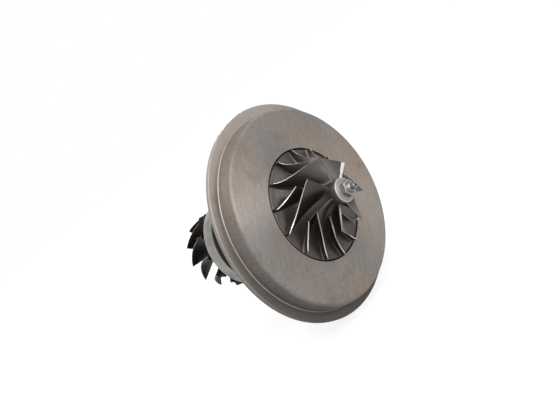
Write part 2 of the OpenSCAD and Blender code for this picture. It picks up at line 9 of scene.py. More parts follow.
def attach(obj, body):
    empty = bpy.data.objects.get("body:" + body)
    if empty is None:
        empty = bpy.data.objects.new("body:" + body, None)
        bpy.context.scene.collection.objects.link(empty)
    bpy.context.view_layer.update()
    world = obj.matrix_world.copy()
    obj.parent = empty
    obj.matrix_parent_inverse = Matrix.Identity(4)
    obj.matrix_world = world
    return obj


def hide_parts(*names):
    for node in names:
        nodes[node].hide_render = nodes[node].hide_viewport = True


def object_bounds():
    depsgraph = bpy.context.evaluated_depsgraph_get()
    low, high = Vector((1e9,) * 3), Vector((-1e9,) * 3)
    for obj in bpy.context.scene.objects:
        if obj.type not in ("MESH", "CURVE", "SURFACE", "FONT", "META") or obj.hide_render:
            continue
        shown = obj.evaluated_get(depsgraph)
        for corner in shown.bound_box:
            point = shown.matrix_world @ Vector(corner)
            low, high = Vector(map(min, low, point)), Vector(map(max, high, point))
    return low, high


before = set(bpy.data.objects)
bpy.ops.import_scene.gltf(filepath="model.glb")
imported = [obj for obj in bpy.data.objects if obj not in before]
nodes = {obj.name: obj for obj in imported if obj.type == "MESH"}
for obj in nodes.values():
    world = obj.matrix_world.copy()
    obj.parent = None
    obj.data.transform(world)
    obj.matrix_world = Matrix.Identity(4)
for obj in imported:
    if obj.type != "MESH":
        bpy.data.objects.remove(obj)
cad_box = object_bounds()
MM = 0.001

# Sizes are in millimetres: r is the distance from the shaft's axis, z the station along it, towards the nose

# Backplate
RIM_R, RIM_T, CLAMP_ANGLE = 100.0, 3.8, 20.0
PILOT_R, PILOT_LEN = 90.8, 4.0
FACE_R, FACE_H, FACE_ROUND, PLATE_WALL = 89.0, 15.3, 3.0, 7.0
BOSS_R, JOINT_Z, INSERT_R, INSERT_LIP = 65.0, -8.0, 27.0, 3.0
RECESS_R, RECESS_Z = 51.3, 10.2

# Compressor wheel
COMP_R, INDUCER_R, INDUCER_H = 50.0, 33.0, 27.2
NOSE_H, COMP_HUB_R, COMP_BOSS_R, HUB_RISE = 35.3, 10.5, 13.0, 1.2
EXIT_W, EXIT_DROP, DISC_T, DISC_SLOPE = 5.0, 0.4, 2.2, 0.18
WHEEL_SEAT, WHEEL_BORE_R = 4.0, 5.02
COMP_BLADES, COMP_PHASE, COMP_WRAP, SPLIT_START = 7, 124.2, 54.5, 0.333
COMP_ROOT_T, COMP_TIP_T, COMP_FILLET = 2.2, 0.85, 1.8
NOSE_Z = FACE_H + NOSE_H
# the full blade with a bright painted highlight behind its leading edge, and how many rows of its mesh carry
# it
GLINT_BLADE, GLINT_ROWS = 5, 8

# Bearing housing
HOUSING_Z, FLANGE_R, FLANGE_W, FRONT_FLANGE_T = -92.5, 44.0, 14.5, 11.0
INLET_H, DRAIN_H = 60.0, 74.0

# Turbine wheel
TURB_R, EXDUCER_R, TURB_HUB_R = 43.0, 36.0, 12.5
TURB_BACK_Z, TURB_INLET_W, TURB_LEN = -95.8, 11.1, 37.5
TURB_HUB_Z, TURB_OUT_Z = TURB_BACK_Z - 1.3, TURB_BACK_Z - TURB_LEN
TURB_BLADES, TURB_PHASE, TURB_WRAP = 12, 138.6, 32.0
TURB_ROOT_T, TURB_TIP_T, TURB_FILLET = 2.6, 1.25, 2.2
# scallops between the turbine blades: the radius that they reach, and their own
SCALLOP_R, SCALLOP_ROUND = 28.5, 7.5
# nose of the turbine wheel: end of the hub and of the hexagon behind the blades, and half its width
TURB_CAP, HEX_LEN, HEX_R = 3.2, 7.0, 7.5

# Shaft
SHAFT_H, WELD_Z = 49.0, HOUSING_Z - 1
SEAL_BOSS_R, JOURNAL_R, WAIST_R, STUB_R = 13.0, 8.0, 7.4, 5.0
SEAL_Z, SEAL_GROOVE_W, SEAL_GROOVE_R, SEAL_BOSS_Z = -84.0, 2.2, 11.0, -79.5
REAR_JOURNAL_Z, FRONT_JOURNAL_Z, SHOULDER_Z = -56.5, -43.0, -22.0
THREAD_R, THREAD_DEPTH, THREAD_PITCH = 4.5, 0.45, 1.0
# the thread that shows starts above the wheel's nose and stops short of the end, which is plain
THREAD_START, THREAD_STOP = 5.0, 4.2
END_R, END_LEN, CENTRE_R, CENTRE_DEPTH = 2.7, 3.3, 1.3, 3.0

# radius at which a turned piece closes on the axis
AXIS_R = 0.02


# Shader building blocks

def shade(colour, k):
    return [c * k for c in colour]


class Nodes:
    """Small helper that adds shader nodes to a material or world and links them in one line each."""

    def __init__(self, owner, output):
        owner.use_nodes = True
        self.owner = owner
        self.tree = owner.node_tree
        self.tree.nodes.clear()
        self.out = self.tree.nodes.new(output)

    def new(self, kind, inputs=None, **props):
        n = self.tree.nodes.new(kind)
        for k, v in props.items():
            setattr(n, k, v)
        for k, v in (inputs or {}).items():
            self.put(n.inputs[k], v)
        return n

    def put(self, socket, v):
        if isinstance(v, bpy.types.NodeSocket):
            self.tree.links.new(v, socket)
        elif isinstance(v, (tuple, list)) and len(v) == 3 and socket.type == "RGBA":
            socket.default_value = (*v, 1)
        else:
            socket.default_value = v

    def finish(self, shader):
        self.tree.links.new(shader.outputs[0], self.out.inputs[0])
        return self.owner

    def math(self, op, a, b):
        return self.new("ShaderNodeMath", {0: a, 1: b}, operation=op).outputs[0]

    def add(self, a, b):
        return self.math("ADD", a, b)

    def mul(self, a, b):
        return self.math("MULTIPLY", a, b)

    def either(self, a, b):
        return self.math("MAXIMUM", a, b)

    def but(self, a):
        """One where the mask a is zero."""
        return self.math("SUBTRACT", 1.0, a)

    def step(self, v, lo, hi):
        """Zero below lo, one above hi, smooth between."""
        n = self.new("ShaderNodeMapRange", {"Value": v, "From Min": lo, "From Max": hi},
                     interpolation_type="SMOOTHSTEP")
        return n.outputs[0]

    def past(self, v, lo, hi):
        """The same step for a place in millimetres."""
        return self.step(v, lo * MM, hi * MM)

    def remap(self, v, lo, hi, to_lo=0.0, to_hi=1.0):
        n = self.new("ShaderNodeMapRange", {"Value": v, "From Min": lo, "From Max": hi,
                                            "To Min": to_lo, "To Max": to_hi})
        return n.outputs[0]

    def noise(self, vec, scale, detail=3.0, rough=0.55):
        n = self.new("ShaderNodeTexNoise",
                     {"Vector": vec, "Scale": scale, "Detail": detail, "Roughness": rough})
        return n.outputs["Fac"]

    def mix(self, fac, a, b):
        n = self.new("ShaderNodeMix", {0: fac, 6: a, 7: b}, data_type="RGBA", clamp_factor=True)
        return n.outputs[2]

    def tint(self, colour, by):
        n = self.new("ShaderNodeMix", {0: 1.0, 6: colour, 7: by}, data_type="RGBA", blend_type="MULTIPLY")
        return n.outputs[2]

    def position(self):
        return self.new("ShaderNodeTexCoord").outputs["Object"]

    def place(self):
        """Object position, its three parts and the radius from the shaft."""
        pos = self.position()
        x, y, z = self.new("ShaderNodeSeparateXYZ", {0: pos}).outputs
        square = self.add(self.mul(x, x), self.mul(z, z))
        return pos, x, y, z, self.math("SQRT", square, 0.0)

    def vector(self, a, b, c=0.0):
        return self.new("ShaderNodeCombineXYZ", {0: a, 1: b, 2: c}).outputs[0]

    def bump(self, height, strength, depth):
        n = self.new("ShaderNodeBump", {"Height": height, "Strength": strength, "Distance": depth * MM})
        return n.outputs[0]

    def seen(self):
        """One for rays from the camera, from a reflection or through glass."""
        path = self.new("ShaderNodeLightPath").outputs
        return self.either(self.either(path["Is Camera Ray"], path["Is Glossy Ray"]),
                           path["Is Transmission Ray"])

    def surface(self, **inputs):
        keys = {"color": "Base Color", "metal": "Metallic", "rough": "Roughness", "normal": "Normal",
                "aniso": "Anisotropic", "lay": "Anisotropic Rotation", "tangent": "Tangent",
                "spec": "Specular IOR Level"}
        return self.finish(self.new("ShaderNodeBsdfPrincipled", {keys[k]: v for k, v in inputs.items()}))


def material(name):
    return Nodes(bpy.data.materials.new(name), "ShaderNodeOutputMaterial")


# Kinds of metal

# scale of the slow stains on machined metal, per metre
STAIN_SCALE = 24.0
COOL, WARM = (0.95, 1.0, 1.05), (1.04, 0.97, 0.90)
# painted light: the lighter tone of the rim's top and of its outer edge, and the colour of a painted
# highlight in the corner where the cover seats
RIM_TOP_LIGHT, RIM_EDGE_LIGHT, CORNER_HIGHLIGHT = (0.46, 0.41, 0.375), (0.42, 0.385, 0.355), (0.72, 0.62, 0.52)
# heights between which the wall and rim darken, which is painted shade, and the flat of the rim goes from
# plain to lighter at the top, which is painted light
SHADE_TOP, SHADE_LOW, RIM_LIGHT_START, RIM_LIGHT_FULL = 80.0, -70.0, 55.0, 95.0
# direction of the streaks across the machined faces
STREAK_COS, STREAK_SIN = 0.82, 0.57


def streaks(n, x, y, z):
    """Fine streaks along a slant across the machined faces."""
    across = n.math("SUBTRACT", n.mul(x, STREAK_COS), n.mul(z, STREAK_SIN))
    length = n.add(n.mul(x, STREAK_SIN), n.mul(z, STREAK_COS))
    return n.noise(n.vector(across, n.mul(length, 0.12), n.mul(y, 0.3)), STAIN_SCALE * 16, 4.0, 0.7)


def plate_tone(n, tone, dark, y, z, r):
    """The backplate's wall and rim: a little darker than its face and darker still lower down as painted
    shade, with the top of the rim and its outer edge lightened as painted light, and a thin painted highlight
    in the corner where the cover seats."""
    # painted shade: the wall and rim darken lower down
    low = n.remap(z, SHADE_TOP * MM, SHADE_LOW * MM)
    wall = n.mul(n.past(y, 0.8 - FACE_H, 3.3 - FACE_H), n.remap(low, 0.0, 1.0, 0.06, 0.46))
    flat = n.past(r, PILOT_R + 0.4, PILOT_R + 1.0)
    lower_shade = n.add(wall, n.mul(flat, n.remap(low, 0.0, 1.0, 0.06, 0.34)))
    tone = n.mix(lower_shade, tone, shade(dark, 0.3))
    # painted light: the flat of the rim lightened towards the top
    tone = n.mix(n.mul(flat, n.mul(n.past(z, RIM_LIGHT_START, RIM_LIGHT_FULL), 0.55)), tone, RIM_TOP_LIGHT)
    # painted light: the rim's outer edge lightened, less so lower down
    edge = n.mul(n.past(r, RIM_R - 1.2, RIM_R - 0.6), n.remap(low, 0.5, 1.0, 0.5, 0.0))
    tone = n.mix(edge, tone, RIM_EDGE_LIGHT)
    # painted highlight: a thin bright line in the corner where the cover seats
    line = n.mul(n.past(r, PILOT_R - 0.1, PILOT_R + 0.1), n.but(n.past(r, PILOT_R + 0.3, PILOT_R + 0.5)))
    seat = n.mul(n.past(y, -1.0, -0.6), n.but(n.past(y, 0.4, 0.8)))
    return n.mix(n.mul(n.mul(line, seat), 0.6), tone, CORNER_HIGHLIGHT)


def turned_metal(name, light, dark, rough, metal, marks=2600.0, depth=0.01, fan=0.0, shade_radius=0.0, shade_share=0.12,
                 plate=False):
    """Machined metal: fine rings left by the tool, faint streaks across them, slow stains and smudges.

    fan stretches the highlight across the rings, inside the given radius the colour is darkened by the given
    share as painted shade, and plate adds the backplate's wall and rim with their painted shade and painted
    light."""
    n = material(name)
    pos, x, y, z, r = n.place()
    rings = n.noise(n.vector(r, y), marks, 2.0, 0.6)
    slow = n.noise(pos, STAIN_SCALE, 5.0, 0.62)
    mottle = n.noise(pos, STAIN_SCALE * 16, 5.0, 0.75)
    smudge = n.step(n.noise(pos, STAIN_SCALE * 2.1, 5.0, 0.65), 0.50, 0.72)
    warmth = n.step(n.noise(pos, STAIN_SCALE * 0.8, 4.0, 0.6), 0.36, 0.64)
    mixed = n.add(n.mul(slow, 0.42), n.add(n.mul(streaks(n, x, y, z), 0.24), n.mul(mottle, 0.34)))
    tone = n.mix(n.remap(mixed, 0.38, 0.62), dark, light)
    tone = n.mix(n.mul(smudge, 0.5), tone, shade(dark, 0.74))
    tone = n.tint(tone, n.mix(warmth, COOL, WARM))
    # painted shade: the colour is darkened inside the given radius
    if shade_radius:
        tone = n.mix(n.but(n.past(r, shade_radius - 0.1, shade_radius + 0.2)), tone, shade(dark, shade_share))
    if plate:
        tone = plate_tone(n, tone, dark, y, z, r)
    shine = n.add(n.remap(rings, 0.25, 0.75, rough - 0.06, rough + 0.06), n.mul(smudge, 0.08))
    fine = n.noise(pos, 5200.0, 2.0, 0.5)
    height = n.add(n.mul(rings, 0.75), n.mul(fine, 0.25))
    extra = {}
    if fan:
        extra = {"aniso": fan, "lay": 0.25, "spec": 0.35,
                 "tangent": n.new("ShaderNodeTangent", direction_type="RADIAL", axis="Y").outputs[0]}
    return n.surface(color=tone, metal=metal, rough=shine, normal=n.bump(height, 0.35, depth), **extra)


def cast_metal(name, light, dark, rough, metal, grain, depth=0.12, strength=0.5):
    """A cast skin: fine grain, shallow dimples and uneven tone."""
    n = material(name)
    pos = n.position()
    fine = n.noise(pos, grain, 4.0, 0.65)
    wide = n.noise(pos, 46.0, 4.0, 0.6)
    tone = n.mix(n.remap(wide, 0.3, 0.7), dark, light)
    tone = n.mix(n.mul(n.step(fine, 0.5, 0.75), 0.3), tone, shade(light, 1.25))
    shine = n.remap(fine, 0.3, 0.7, rough - 0.07, rough + 0.07)
    return n.surface(color=tone, metal=metal, rough=shine, normal=n.bump(fine, strength, depth))


def plain_metal(name, light, dark, rough, metal, scale=300.0):
    """A smooth metal with a slightly uneven tone and shine."""
    n = material(name)
    pos = n.position()
    wide = n.noise(pos, scale, 4.0, 0.6)
    tone = n.mix(n.remap(wide, 0.35, 0.65), dark, light)
    shine = n.remap(n.noise(pos, scale * 7), 0.3, 0.7, rough - 0.05, rough + 0.05)
    return n.surface(color=tone, metal=metal, rough=shine, normal=n.bump(wide, 0.08, 0.03))


def housing_material():
    """Cast iron with machined flange faces, turbine flange and oil pads."""
    n = material("housing_iron")
    pos, x, y, z, r = n.place()
    fine = n.noise(pos, 820.0, 4.0, 0.65)
    wide = n.noise(pos, 40.0, 4.0, 0.6)
    rings = n.noise(n.vector(r, y), 1900.0, 2.0, 0.6)
    web_y, end_y = -HOUSING_Z - FLANGE_W, -HOUSING_Z
    neck_y = FRONT_FLANGE_T - JOINT_Z
    flange = n.mul(n.past(y, web_y + 0.4, web_y + 1.0), n.past(r, FLANGE_R - 4.0, FLANGE_R - 3.2))
    rear = n.past(y, end_y - 2.0, end_y - 1.3)
    front = n.but(n.past(y, 1.2 - JOINT_Z, 1.6 - JOINT_Z))
    edge = n.mul(n.past(r, BOSS_R - 1.0, BOSS_R - 0.2), n.but(n.past(y, neck_y - 1.0, neck_y - 0.4)))
    inlet = n.past(z, INLET_H - 0.6, INLET_H - 0.2)
    drain = n.but(n.past(z, 0.2 - DRAIN_H, 0.6 - DRAIN_H))
    cut = n.either(n.either(n.either(flange, rear), n.either(front, edge)), n.either(inlet, drain))
    cast = n.mix(n.remap(wide, 0.3, 0.7), (0.032, 0.031, 0.030), (0.060, 0.058, 0.056))
    cast = n.mix(n.mul(n.step(fine, 0.5, 0.75), 0.3), cast, (0.095, 0.092, 0.089))
    bare = n.mix(n.remap(wide, 0.36, 0.64), (0.22, 0.21, 0.20), (0.40, 0.385, 0.37))
    height = n.add(n.mul(fine, n.but(cut)), n.mul(n.mul(rings, cut), 0.08))
    rough = n.math("SUBTRACT", n.remap(fine, 0.3, 0.7, 0.58, 0.70), n.mul(cut, 0.20))
    metal = n.add(0.15, n.mul(cut, 0.45))
    return n.surface(color=n.mix(cut, cast, bare), metal=metal, rough=rough, spec=0.25,
                     normal=n.bump(height, 0.5, 0.12))


# Materials

# inside the recess round the compressor wheel the plate's colour is darkened as painted shade
face_mat = turned_metal("turned_plate", (0.270, 0.236, 0.210), (0.180, 0.156, 0.139), 0.42, 0.3, fan=0.8,
                        shade_radius=RECESS_R, plate=True)
# the wheel's colour is set far darker than bare aluminium: painted shade for its shadowed passages and the
# dark it reflects
shaded_wheel_mat = cast_metal("cast_aluminium_shaded", (0.075, 0.066, 0.060), (0.052, 0.045, 0.041), 0.42, 0.75,
                       grain=1500.0, depth=0.04, strength=0.35)
edge_mat = plain_metal("machined_edge", (0.74, 0.72, 0.69), (0.60, 0.58, 0.555), 0.42, 0.45)
# painted highlight: one blade's leading edge painted bright as a glint
glint_mat = plain_metal("lead_glint", (0.62, 0.65, 0.69), (0.54, 0.57, 0.61), 0.34, 0.4)
# painted highlight: the other compressor leading edges a little lighter than the cast faces
lead_highlight_mat = plain_metal("lead_highlight", (0.15, 0.14, 0.132), (0.11, 0.10, 0.095), 0.40, 0.7)
turbine_mat = cast_metal("cast_alloy", (0.022, 0.018, 0.0155), (0.012, 0.010, 0.009), 0.50, 0.7,
                         grain=1300.0, depth=0.06)
turbine_edge_mat = plain_metal("ground_alloy", (0.24, 0.21, 0.19), (0.13, 0.115, 0.10), 0.40, 0.8)
# painted shade: the nut's colour is darkened inside 10 mm of the shaft
nut_mat = turned_metal("plated_nut", (0.54, 0.50, 0.47), (0.46, 0.42, 0.39), 0.36, 0.6, marks=2400.0,
                       depth=0.004, shade_radius=10.0, shade_share=0.56)
shaft_mat = turned_metal("ground_steel", (0.24, 0.229, 0.222), (0.18, 0.173, 0.168), 0.40, 0.75, marks=5200.0)
bolt_mat = plain_metal("plated_bolt", (0.34, 0.335, 0.33), (0.24, 0.24, 0.24), 0.36, 0.8)
spring_mat = plain_metal("spring_steel", (0.22, 0.22, 0.23), (0.15, 0.15, 0.16), 0.4, 0.8)
sheet_mat = plain_metal("sheet_steel", (0.33, 0.31, 0.29), (0.22, 0.205, 0.19), 0.44, 0.7, scale=90.0)
bronze_mat = turned_metal("bronze", (0.50, 0.33, 0.13), (0.40, 0.26, 0.10), 0.34, 0.9, marks=4200.0)
insert_mat = turned_metal("turned_insert", (0.40, 0.39, 0.38), (0.30, 0.29, 0.28), 0.36, 0.8)
rubber_mat = cast_metal("seal_rubber", (0.03, 0.03, 0.03), (0.02, 0.02, 0.02), 0.6, 0.0, grain=2500.0)
housing_mat = housing_material()


# Mesh building blocks

def at(r, a, z):
    """A point in the part's frame, in metres: radius, angle in degrees and station along the shaft."""
    a = math.radians(a)
    return (r * math.cos(a) * MM, -z * MM, r * math.sin(a) * MM)


def add_piece(name, verts, faces, mats, slots=None, weighted=False):
    me = bpy.data.meshes.new(name)
    me.from_pydata(verts, [], faces)
    for m in mats:
        me.materials.append(m)
    if slots is not None:
        me.polygons.foreach_set("material_index", slots)
    me.polygons.foreach_set("use_smooth", [True] * len(me.polygons))
    me.update()
    ob = bpy.data.objects.new(name, me)
    bpy.context.scene.collection.objects.link(ob)
    if weighted:
        w = ob.modifiers.new("normals", "WEIGHTED_NORMAL")
        w.keep_sharp = True
        w.weight = 80
    return ob


def sharpen(ob, angle):
    """Closes the mesh at doubled points and splits the shading at edges sharper than the angle."""
    bm = bmesh.new()
    bm.from_mesh(ob.data)
    bmesh.ops.remove_doubles(bm, verts=bm.verts, dist=1e-7)
    bmesh.ops.recalc_face_normals(bm, faces=bm.faces)
    for e in bm.edges:
        e.smooth = len(e.link_faces) == 2 and e.calc_face_angle(0) < math.radians(angle)
    bm.to_mesh(ob.data)
    bm.free()


def rounded(corners, steps):
    """A profile with each corner (r, z, radius) replaced by an arc."""
    out = []
    for i, (r, z, radius) in enumerate(corners):
        p = np.array((r, z), float)
        a = np.array(corners[i - 1][:2], float) - p
        b = np.array(corners[(i + 1) % len(corners)][:2], float) - p
        len_a, len_b = np.linalg.norm(a), np.linalg.norm(b)
        a, b = a / len_a, b / len_b
        half = math.acos(max(-1, min(1, float(a @ b)))) / 2
        if radius <= 0 or half > math.pi / 2 - 0.02:
            out.append((r, z))
            continue
        cut = min(radius / math.tan(half), 0.48 * len_a, 0.48 * len_b)
        mid = (a + b) / np.linalg.norm(a + b)
        centre = p + mid * cut * math.tan(half) / math.sin(half)
        first, last = p + a * cut - centre, p + b * cut - centre
        turn = math.copysign(math.pi - 2 * half, first[0] * last[1] - first[1] * last[0])
        for k in range(steps + 1):
            c, s = math.cos(turn * k / steps), math.sin(turn * k / steps)
            out.append((centre[0] + first[0] * c - first[1] * s, centre[1] + first[0] * s + first[1] * c))
    return out


def lathe(profile, segs, phase=0.0, limit=None):
    """Turns a closed profile round the shaft. limit(angle) is the largest radius at that angle."""
    verts, faces = [], []
    n = len(profile)
    for k in range(segs):
        a = phase + 360.0 * k / segs
        most = limit(a) if limit else math.inf
        verts += [at(min(r, most), a, z) for r, z in profile]
    for k in range(segs):
        j = (k + 1) % segs
        for i in range(n):
            m = (i + 1) % n
            faces.append((k * n + i, k * n + m, j * n + m, j * n + i))
    return verts, faces


def join(parts):
    """Joins (verts, faces, material slots) into one mesh description. One number is the slot of all faces."""
    verts, faces, slots = [], [], []
    for v, f, s in parts:
        o = len(verts)
        verts += v
        faces += [tuple(i + o for i in q) for q in f]
        slots += s if isinstance(s, list) else [s] * len(f)
    return verts, faces, slots


# Backplate

def backplate():
    back_z = -RIM_T - (RIM_R - PILOT_R - 1) * math.tan(math.radians(CLAMP_ANGLE))
    wall_z = FACE_H - PLATE_WALL
    floor_z = RECESS_Z - DISC_SLOPE * (COMP_R - INSERT_R)
    lip_r = INSERT_R - INSERT_LIP
    corners = [
        (lip_r, JOINT_Z, 0.3), (BOSS_R, JOINT_Z, 0.8), (BOSS_R + 1, JOINT_Z + 2, 1.5),
        (BOSS_R + 3, wall_z - 2, 2.5), (BOSS_R + 5, wall_z, 2.5), (FACE_R - 9, wall_z, 2.5),
        (FACE_R - 7, wall_z - 2, 2.5), (FACE_R - 6, back_z, 1.0), (PILOT_R + 1, back_z, 1.0),
        (RIM_R - 0.1, -RIM_T, 0.7), (RIM_R, 0.0, 0.7), (PILOT_R, 0.0, 1.0), (PILOT_R, PILOT_LEN, 40.0),
        (FACE_R, FACE_H, FACE_ROUND), (RECESS_R, FACE_H, 0.4), (RECESS_R, RECESS_Z, 0.8),
        (INSERT_R + 1, floor_z, 1.0), (INSERT_R, floor_z, 0.3), (INSERT_R, JOINT_Z + 1, 0.0),
        (lip_r, JOINT_Z + 1, 0.2)]
    verts, faces = lathe(rounded(corners, 7), 384)
    ob = add_piece("backplate_turned", verts, faces, [face_mat], weighted=True)
    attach(ob, "housing")
    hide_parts("compressor_backplate")


# Bladed wheels

COMPRESSOR, TURBINE = 0, 1
# rows of a blade's mesh along the flow, and columns from root to tip
FULL_ROWS, SPLIT_ROWS, TURB_ROWS, COMP_COLUMNS, TURB_COLUMNS = 44, 32, 34, 14, 12
# how far a blade's root reaches into the hub, and how the columns crowd towards it
ROOT_SINK, ROOT_CROWD = 0.8, 1.35
# how the blades take their turn: the share taken early on the compressor, and the power of both curves
EARLY_TURN, TURN_POWER = 0.75, 2.6
# share of a blade's length over which its leading edge is rounded, and share of its thickness at both ends
LEAD_LEN, COMP_BLUNT, TURB_BLUNT, TAIL_SHARE = 0.05, 0.8, 0.2, 0.55
# the curve of the turbine blades' tips
TURB_TIP_POWER = 0.8
# how wide and how hollow the fillet at the root is
FILLET_SWELL, FILLET_POWER = 1.1, 2.2


def hub_line(wheel, t):
    """A point (r, z) on the hub, from t = 0 where the flow enters to t = 1 where it leaves."""
    s, c = math.sin(math.pi / 2 * t), math.cos(math.pi / 2 * t)
    if wheel == COMPRESSOR:
        rise = INDUCER_H + HUB_RISE
        return np.array((COMP_R - (COMP_R - COMP_HUB_R) * c, FACE_H + rise - (rise + EXIT_DROP) * s))
    return np.array((TURB_R - (TURB_R - TURB_HUB_R) * s, TURB_HUB_Z - (TURB_HUB_Z - TURB_OUT_Z) * (1 - c)))


def tip_line(wheel, t):
    """The point (r, z) on the blade tips at the same t."""
    s, c = math.sin(math.pi / 2 * t), math.cos(math.pi / 2 * t)
    if wheel == COMPRESSOR:
        drop = INDUCER_H + EXIT_DROP - EXIT_W
        return np.array((COMP_R - (COMP_R - INDUCER_R) * c, FACE_H + INDUCER_H - drop * s))
    return np.array((TURB_R - (TURB_R - EXDUCER_R) * s ** TURB_TIP_POWER,
                     TURB_BACK_Z - TURB_INLET_W - (TURB_LEN - TURB_INLET_W) * (1 - c)))


def turn_at(wheel, t):
    """How far round the shaft the blade has turned at t, in degrees."""
    if wheel == COMPRESSOR:
        early = 1 - (1 - t) ** TURN_POWER
        return COMP_PHASE + COMP_WRAP * (EARLY_TURN * early + (1 - EARLY_TURN) * t)
    return TURB_PHASE + TURB_WRAP * (1 - math.cos(math.pi / 2 * t)) ** TURN_POWER


def mean_point(wheel, t, s):
    """A point on the blade's middle surface, at the share s of the way from hub to tip."""
    r, z = hub_line(wheel, t) + (tip_line(wheel, t) - hub_line(wheel, t)) * s
    a = math.radians(turn_at(wheel, t))
    return np.array((r * math.cos(a), r * math.sin(a), z))


def mean_normal(wheel, t, s):
    """The direction across the blade there, from a small step each way. It doesn't change below the root."""
    dt, ds, root = 0.004, 0.05, 0.03
    s = max(root, s)
    n = np.cross(mean_point(wheel, min(1.0, t + dt), s) - mean_point(wheel, max(0.0, t - dt), s),
                 mean_point(wheel, t, s + ds) - mean_point(wheel, t, s - ds))
    return n / np.linalg.norm(n)


def blade_taper(wheel, along):
    """Share of the full thickness along a blade: a rounded leading edge and a thin trailing edge."""
    blunt = COMP_BLUNT if wheel == COMPRESSOR else TURB_BLUNT
    lead = math.sqrt(min(1.0, along / LEAD_LEN + blunt ** 2))
    tail = TAIL_SHARE + (1 - TAIL_SHARE) * min(1.0, 5 * (1 - along))
    return lead * tail


def blade_mesh(wheel, t_first, turn, rows, columns, root_t, tip_t, fillet, ground=0):
    """One blade with a rounded leading edge, a fillet at the root and a machined tip.

    That many rows behind the leading edge carry a bright painted highlight on one side. The material slots
    are 0 for the cast faces, 1 for the tip, 2 for the compressor's leading edge, lightened as a painted
    highlight, and 3 for the bright painted highlight."""
    grid = {1: [], -1: []}
    for i in range(rows + 1):
        t = min(1.0, t_first + (1 - t_first) * (1 - math.cos(math.pi / 2 * i / rows)))
        taper = blade_taper(wheel, (t - t_first) / (1 - t_first))
        span = float(np.linalg.norm(tip_line(wheel, t) - hub_line(wheel, t)))
        for side in grid:
            for j in range(columns + 1):
                height = -ROOT_SINK + (span + ROOT_SINK) * (j / columns) ** ROOT_CROWD
                s = height / span
                thick = (root_t + (tip_t - root_t) * max(0.0, min(1.0, s))) * taper
                if height < fillet:
                    thick += FILLET_SWELL * fillet * (1 - max(0.0, height) / fillet) ** FILLET_POWER
                n = mean_normal(wheel, t, s)
                grid[side].append(mean_point(wheel, t, s) + n * side * thick / 2)
    c, s = math.cos(math.radians(turn)), math.sin(math.radians(turn))
    verts = [((c * x - s * y) * MM, -z * MM, (s * x + c * y) * MM) for x, y, z in grid[1] + grid[-1]]
    m = columns + 1
    half = (rows + 1) * m
    faces, slots = [], []
    for i in range(rows):
        for j in range(columns):
            a, b, d, e = i * m + j, i * m + j + 1, (i + 1) * m + j + 1, (i + 1) * m + j
            faces += [(a, e, d, b), (half + a, half + b, half + d, half + e)]
            # slot 3: the bright painted highlight behind one blade's leading edge
            slots += [0, 3 if j > 1 and i < ground * (0.7 + 0.3 * j / columns) else 0]
        a, b = i * m + columns, (i + 1) * m + columns
        faces.append((a, b, half + b, half + a))
        slots.append(1)
    for j in range(columns):
        a = rows * m + j
        faces += [(j, j + 1, half + j + 1, half + j), (a, half + a, half + a + 1, a + 1)]
        # leading edge faces: the bright painted highlight on one blade, a faint painted highlight on the
        # other compressor blades
        slots += [3 if ground else 2 if wheel == COMPRESSOR else 0, 0]
    return verts, faces, slots


def compressor_wheel():
    back_z = FACE_H - EXIT_DROP - DISC_T
    hub = [tuple(hub_line(COMPRESSOR, 1 - i / 60)) for i in range(61)]
    boss_z = back_z - DISC_SLOPE * (COMP_R - COMP_BOSS_R)
    profile = [(WHEEL_BORE_R, WHEEL_SEAT), (COMP_BOSS_R, WHEEL_SEAT), (COMP_BOSS_R + 0.8, boss_z),
               (COMP_R - 0.3, back_z - 0.05), (COMP_R, back_z + 0.25), (COMP_R, hub[0][1] - 0.25), *hub[1:],
               (COMP_HUB_R - 0.3, NOSE_Z - 0.6), (COMP_HUB_R - 0.8, NOSE_Z), (WHEEL_BORE_R, NOSE_Z)]
    parts = [(*lathe(profile, 224), 0)]
    pitch = 360 / COMP_BLADES
    sizes = (COMP_ROOT_T, COMP_TIP_T, COMP_FILLET)
    for i in range(COMP_BLADES):
        ground = GLINT_ROWS if i == GLINT_BLADE else 0
        parts.append(blade_mesh(COMPRESSOR, 0.0, i * pitch, FULL_ROWS, COMP_COLUMNS, *sizes, ground))
        parts.append(blade_mesh(COMPRESSOR, SPLIT_START, (i + 0.5) * pitch, SPLIT_ROWS, COMP_COLUMNS, *sizes))
    verts, faces, slots = join(parts)
    ob = add_piece("compressor_wheel_cast", verts, faces, [shaded_wheel_mat, edge_mat, lead_highlight_mat, glint_mat], slots)
    sharpen(ob, 38)
    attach(ob, "rotor")
    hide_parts("compressor_wheel")


def turbine_nose():
    """The hexagon on the nose of the turbine wheel, with a chamfered end."""
    segs = 48
    end, chamfer_r = TURB_OUT_Z - HEX_LEN, HEX_R + 0.4
    # station, share of the full size and largest radius of each ring of points
    rings = [(TURB_OUT_Z - TURB_CAP + 0.2, 1.0, math.inf), (end + 0.6, 1.0, math.inf),
             (end, 0.92, chamfer_r), (end, 0.0, chamfer_r)]
    verts, faces = [], []
    for z, share, most in rings:
        for k in range(segs):
            a = 360 / segs * k
            flat = HEX_R / math.cos(math.radians((a % 60) - 30))
            verts.append(at(min(flat, most) * share, a, z))
    for i in range(len(rings) - 1):
        for k in range(segs):
            j = (k + 1) % segs
            faces.append((i * segs + k, i * segs + j, (i + 1) * segs + j, (i + 1) * segs + k))
    return verts, faces, 0


